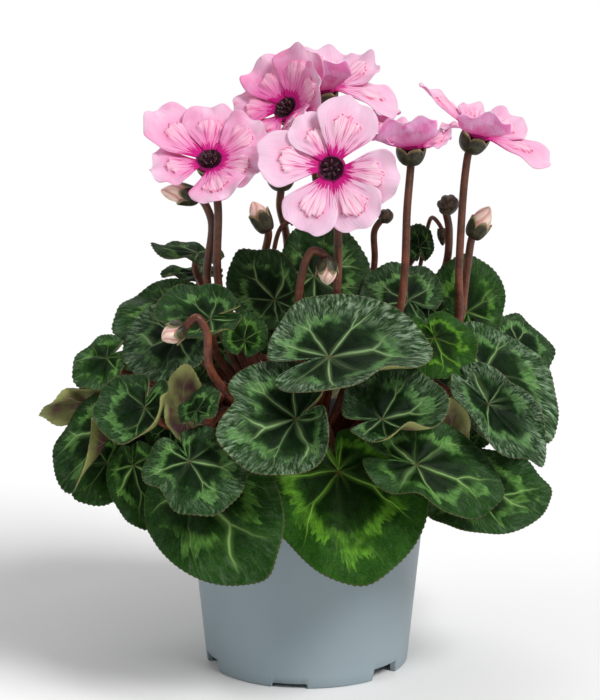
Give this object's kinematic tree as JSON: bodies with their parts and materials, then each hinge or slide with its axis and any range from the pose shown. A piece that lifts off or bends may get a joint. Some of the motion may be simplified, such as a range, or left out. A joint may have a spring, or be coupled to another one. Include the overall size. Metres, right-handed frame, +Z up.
{
  "type": "potted cyclamen",
  "caption": "Flowering cyclamen with patterned heart-shaped leaves and pink open flowers, growing in peat in a round tapered nursery pot with a notched foot.",
  "frame": {"origin": "on the surface the pot stands on, under the middle of the plant; the pot's axis stands on it", "axes": "+Z up along the pot's axis, front of the plant towards -Y, +X to the right seen from the front"},
  "size_m": [0.2282, 0.2094, 0.2743],
  "materials": {
    "blade": "dark green leaf with paler net and rim, satin",
    "petal": "pale pink petal, deep magenta at the eye, matt with a soft sheen",
    "bud": "cream to peach petal tip, satin",
    "stalk": "red-brown stalk and corm, satin",
    "pot": "blue-grey moulded plastic, satin",
    "peat": "dark brown peat, rough"
  },
  "bodies": {
    "root": {"bud_hooked": "bud", "bud_left": "bud", "bud_left_back": "bud", "bud_low_hooked": "bud", "bud_right": "bud", "corm_and_stalks": "stalk", "leaf_back_crown": "blade", "leaf_back_high_1": "blade", "leaf_back_high_2": "blade", "leaf_back_high_3": "blade", "leaf_back_high_4": "blade", "leaf_back_low_1": "blade", "leaf_back_low_2": "blade", "leaf_back_low_3": "blade", "leaf_back_low_4": "blade", "leaf_back_low_5": "blade", "leaf_back_low_6": "blade", "leaf_crown_back": "blade", "leaf_crown_cup": "blade", "leaf_crown_right": "blade", "leaf_front_left": "blade", "leaf_front_middle": "blade", "leaf_front_right": "blade", "leaf_hanging_front": "blade", "leaf_hanging_left": "blade", "leaf_inner_left": "blade", "leaf_inner_right": "blade", "leaf_left_cup": "blade", "leaf_left_dark": "blade", "leaf_left_flat": "blade", "leaf_left_flat_under": "blade", "leaf_left_grey": "blade", "leaf_left_low": "blade", "leaf_left_mauve": "blade", "leaf_left_pointed": "blade", "leaf_left_purple": "blade", "leaf_left_round": "blade", "leaf_left_side": "blade", "leaf_left_upper": "blade", "leaf_low_left": "blade", "leaf_low_right": "blade", "leaf_middle_low": "blade", "leaf_middle_small": "blade", "leaf_right_back": "blade", "leaf_right_bright": "blade", "leaf_right_folded": "blade", "leaf_right_large": "blade", "leaf_right_olive": "blade", "leaf_right_skirt": "blade", "leaf_right_small": "blade", "leaf_right_upright": "blade", "peat": "peat", "petals_back_left": "petal", "petals_far_right": "petal", "petals_front": "petal", "petals_left": "petal", "petals_right": "petal", "petals_top": "petal", "petals_top_left": "petal", "pot": "pot"}
  },
  "joints": []
}
